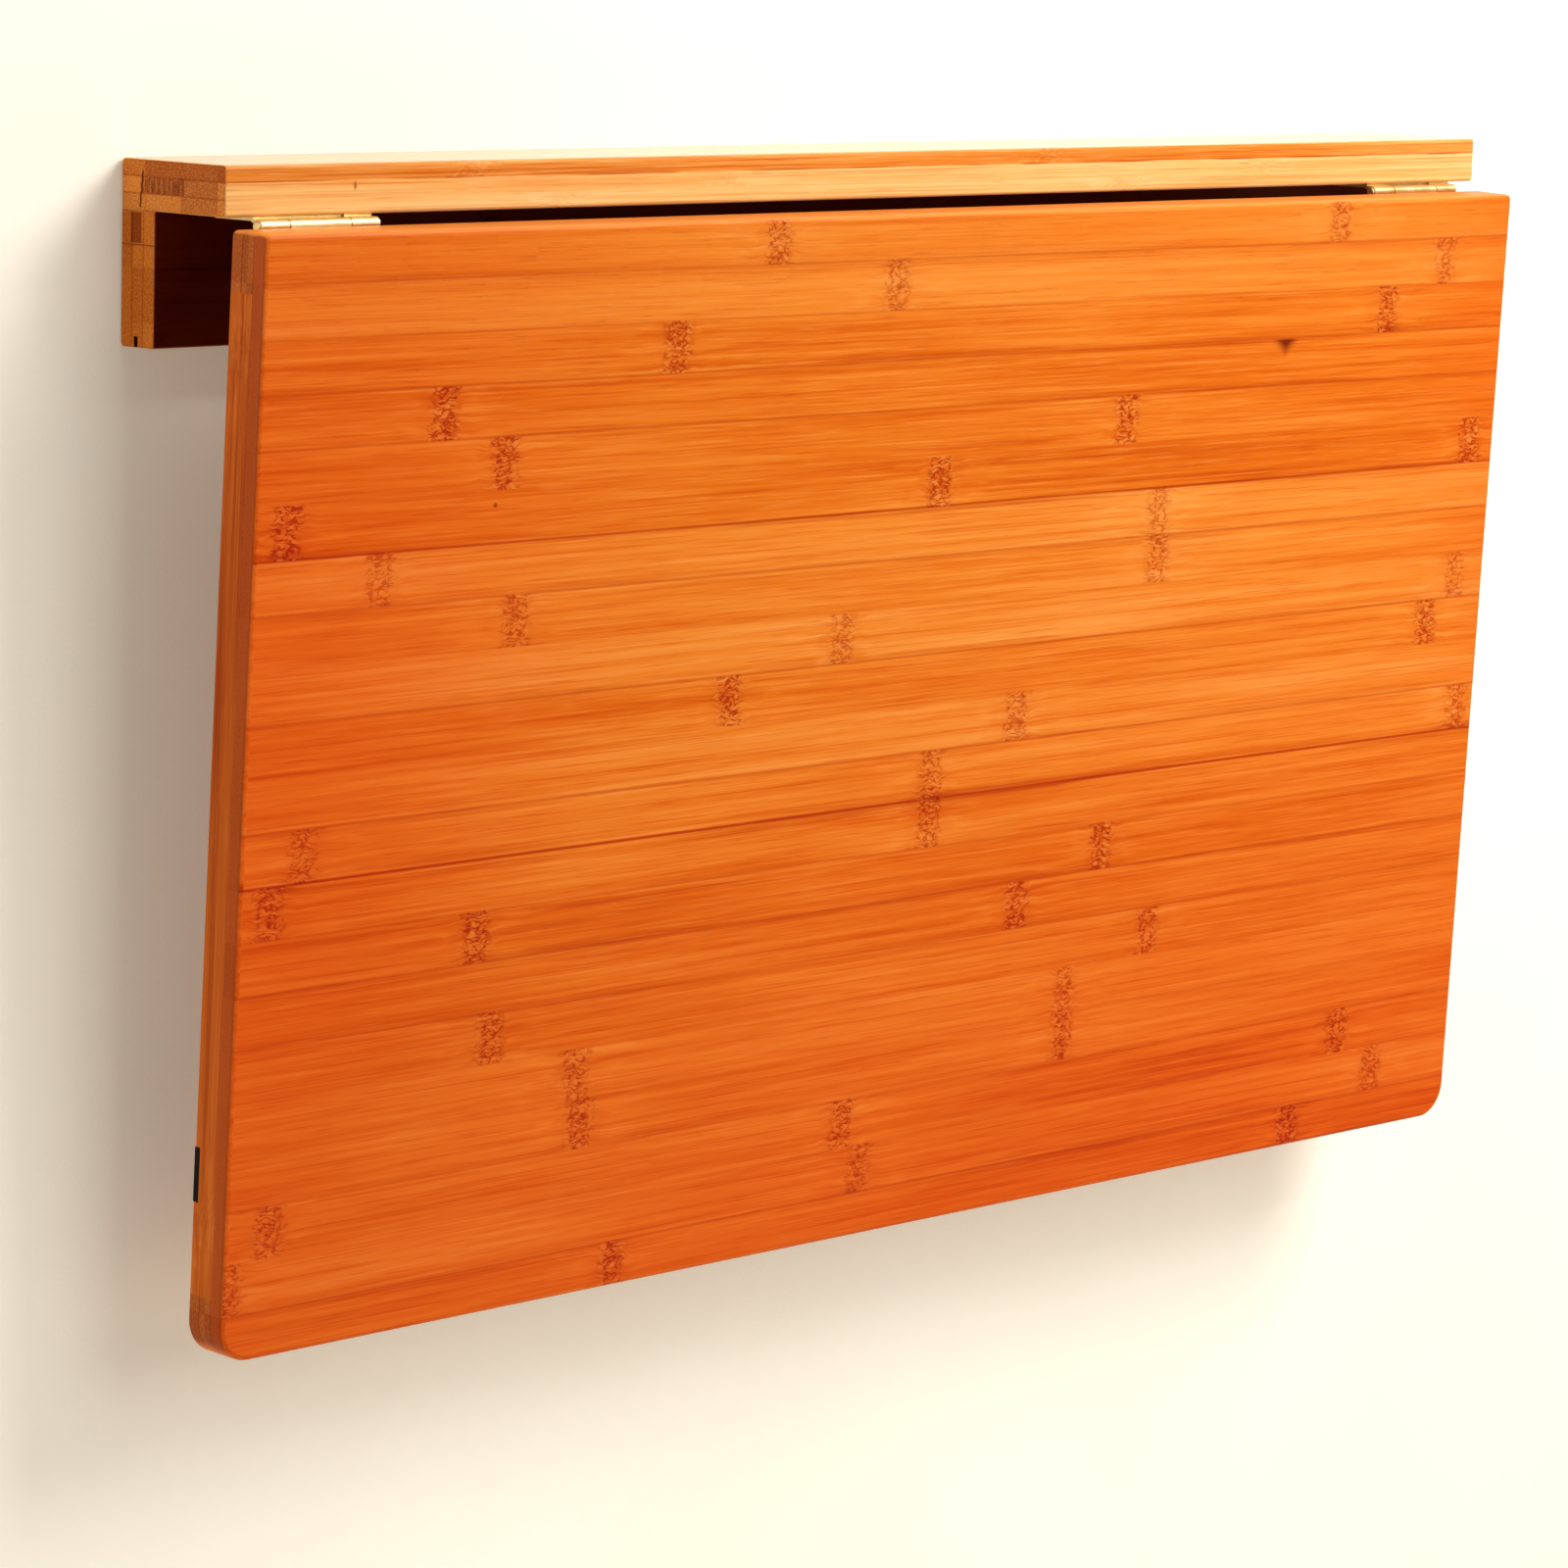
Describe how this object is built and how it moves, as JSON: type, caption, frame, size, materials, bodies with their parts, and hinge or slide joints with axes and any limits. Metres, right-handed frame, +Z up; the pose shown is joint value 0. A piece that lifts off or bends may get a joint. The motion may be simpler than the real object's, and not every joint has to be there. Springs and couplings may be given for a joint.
{
  "type": "wall mounted drop leaf table",
  "caption": "Bamboo drop leaf table on a narrow wall shelf: the leaf hangs on butt hinges, swings up level with the shelf and is held by a folding prop frame.",
  "frame": {"origin": "centre of the wall plate's rear face, on the wall", "axes": "+X along the wall to the right of someone facing it, +Y into the wall, +Z up"},
  "size_m": [0.7, 0.0766, 0.4222],
  "materials": {
    "leaf_bamboo": "lacquered, saturated orange",
    "shelf_bamboo": "lacquered, honey orange",
    "batten_bamboo": "lacquered, brown orange",
    "frame_bamboo": "lacquered, honey brown",
    "dowel_wood": "bare",
    "hinge_brass": "satin pale gold",
    "screw_steel": "brass plated",
    "bright_steel": "brushed",
    "black_steel": "black satin paint",
    "magnet_nickel": "nickel plated",
    "foot_rubber": "matt"
  },
  "bodies": {
    "wall_bracket": {"shelf_board": "shelf_bamboo", "wall_plate": "shelf_bamboo", "shelf_dowels": "dowel_wood", "left_hinge_shelf_plate": "hinge_brass", "left_hinge_pin": "hinge_brass", "left_hinge_shelf_screws": "screw_steel", "right_hinge_shelf_plate": "hinge_brass", "right_hinge_pin": "hinge_brass", "right_hinge_shelf_screws": "screw_steel"},
    "drop_leaf": {"leaf_panel": "leaf_bamboo", "stiffener_bar": "black_steel", "stiffener_screws": "screw_steel", "pivot_washers": "bright_steel", "left_end_batten": "batten_bamboo", "left_hinge_leaf_plate": "hinge_brass", "left_hinge_leaf_screws": "screw_steel", "left_pivot_block": "frame_bamboo", "left_block_screws": "screw_steel", "left_pivot_pin": "bright_steel", "right_end_batten": "batten_bamboo", "right_hinge_leaf_plate": "hinge_brass", "right_hinge_leaf_screws": "screw_steel", "right_pivot_block": "frame_bamboo", "right_block_screws": "screw_steel", "right_pivot_pin": "bright_steel"},
    "prop_frame": {"prop_upper_rail": "frame_bamboo", "prop_lower_rail": "frame_bamboo", "prop_rail_dowels": "dowel_wood", "left_prop_stile": "frame_bamboo", "left_prop_foot": "foot_rubber", "left_prop_magnet": "magnet_nickel", "right_prop_stile": "frame_bamboo", "right_prop_foot": "foot_rubber", "right_prop_magnet": "magnet_nickel"}
  },
  "joints": [
    {"name": "leaf_fold", "type": "hinge", "parent": "wall_bracket", "child": "drop_leaf", "pos_m": [0, -0.0555, 0.0208], "axis": [-1, 0, 0], "range_deg": [0, 92.4]},
    {"name": "prop_swing", "type": "hinge", "parent": "drop_leaf", "child": "prop_frame", "pos_m": [0, -0.04282, -0.11929], "axis": [1, 0, 0], "range_deg": [0, 146.3]}
  ],
  "couplings": [
    {"joint": "prop_swing", "follows": "leaf_fold", "ratio": 1.5823}
  ]
}
